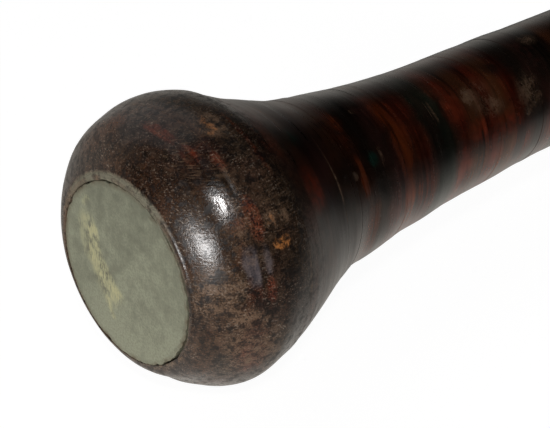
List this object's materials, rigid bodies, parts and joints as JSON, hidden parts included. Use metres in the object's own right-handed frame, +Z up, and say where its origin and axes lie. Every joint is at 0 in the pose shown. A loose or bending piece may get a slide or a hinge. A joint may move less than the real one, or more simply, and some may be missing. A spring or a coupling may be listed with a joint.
{
  "type": "stacked leather baseball bat",
  "caption": "Baseball bat turned from leather washers clamped on a steel rod, with a rounded knob, flared handle, tapered barrel and a metal disc let into each end.",
  "frame": {"origin": "middle of the knob's flat end face, on the bat's axis", "axes": "+X along the bat's axis from the knob to the barrel, +Z up with the bat lying down; the knob's disc is let in off centre towards -Z"},
  "size_m": [0.84, 0.063, 0.063],
  "materials": {
    "leather_umber": "dark varnish, worn and scuffed",
    "leather_oxblood": "dark varnish, worn and scuffed",
    "leather_black": "dark varnish, worn and scuffed",
    "leather_russet": "dark varnish, worn and scuffed",
    "leather_bottle_green": "dark varnish, worn and scuffed",
    "leather_plum": "dark varnish, worn and scuffed",
    "leather_mixed": "dark varnish, worn and scuffed",
    "end_disc": "dull oxidised, scratched",
    "steel": "plain bright steel"
  },
  "bodies": {
    "root": {"core_rod": "steel", "knob_lock_nut": "steel", "knob_nut": "steel", "knob_thrust_washer": "steel", "barrel_lock_nut": "steel", "barrel_nut": "steel", "barrel_thrust_washer": "steel", "knob_disc": "end_disc", "barrel_disc": "end_disc", "knob_washer_1": "leather_umber", "knob_washer_2": "leather_oxblood", "knob_washer_3": "leather_black", "knob_washer_4": "leather_black", "knob_washer_5": "leather_oxblood", "knob_washer_6": "leather_umber", "knob_washer_7": "leather_plum", "flare_washer_1": "leather_umber", "flare_washer_2": "leather_russet", "flare_washer_3": "leather_black", "flare_washer_4": "leather_plum", "flare_washer_5": "leather_russet", "flare_washer_6": "leather_oxblood", "flare_washer_7": "leather_bottle_green", "flare_washer_8": "leather_bottle_green", "grip_washer_1": "leather_oxblood", "grip_washer_2": "leather_umber", "grip_washer_3": "leather_oxblood", "grip_washer_4": "leather_umber", "grip_washer_5": "leather_oxblood", "grip_washer_6": "leather_black", "grip_washer_7": "leather_plum", "grip_washer_8": "leather_black", "grip_washer_9": "leather_umber", "handle_pack_1": "leather_mixed", "handle_pack_2": "leather_mixed", "handle_pack_3": "leather_mixed", "handle_pack_4": "leather_mixed", "taper_pack_1": "leather_mixed", "taper_pack_2": "leather_mixed", "taper_pack_3": "leather_mixed", "taper_pack_4": "leather_mixed", "taper_pack_5": "leather_mixed", "taper_pack_6": "leather_mixed", "taper_pack_7": "leather_mixed", "taper_pack_8": "leather_mixed", "taper_pack_9": "leather_mixed", "taper_pack_10": "leather_mixed", "taper_pack_11": "leather_mixed", "taper_pack_12": "leather_mixed", "taper_pack_13": "leather_mixed", "barrel_pack_1": "leather_mixed", "barrel_pack_2": "leather_mixed", "barrel_pack_3": "leather_mixed", "barrel_pack_4": "leather_mixed", "barrel_pack_5": "leather_mixed"}
  },
  "joints": []
}
